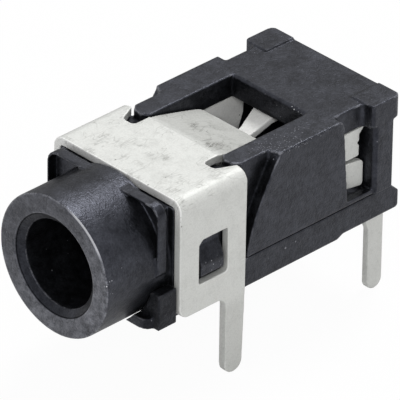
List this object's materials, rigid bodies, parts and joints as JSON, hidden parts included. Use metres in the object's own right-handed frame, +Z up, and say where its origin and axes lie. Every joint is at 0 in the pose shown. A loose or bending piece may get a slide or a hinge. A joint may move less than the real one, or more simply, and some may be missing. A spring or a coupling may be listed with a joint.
{
  "type": "audio jack socket",
  "caption": "Right-angle 3.5 mm audio jack socket: black moulded barrel and housing over a base cover, held by a folded tinned yoke, with through-hole pins.",
  "frame": {"origin": "on the seat plane, the underside of the base cover that rests on the board, midway between the two solder pins of the yoke", "axes": "+Z up, away from the board; +Y from the plug mouth to the rear, along the plug; +X to the right seen from the plug mouth"},
  "size_m": [0.0072, 0.0153, 0.0089],
  "materials": {
    "housing": "moulded, finely textured",
    "base": "moulded, finely textured",
    "yoke": "matte tin plate",
    "contacts": "matte tin plate"
  },
  "bodies": {
    "root": {"housing": "housing", "base_cover": "base", "ground_yoke": "yoke", "tip_contact": "contacts", "ring_contact": "contacts"}
  },
  "joints": []
}
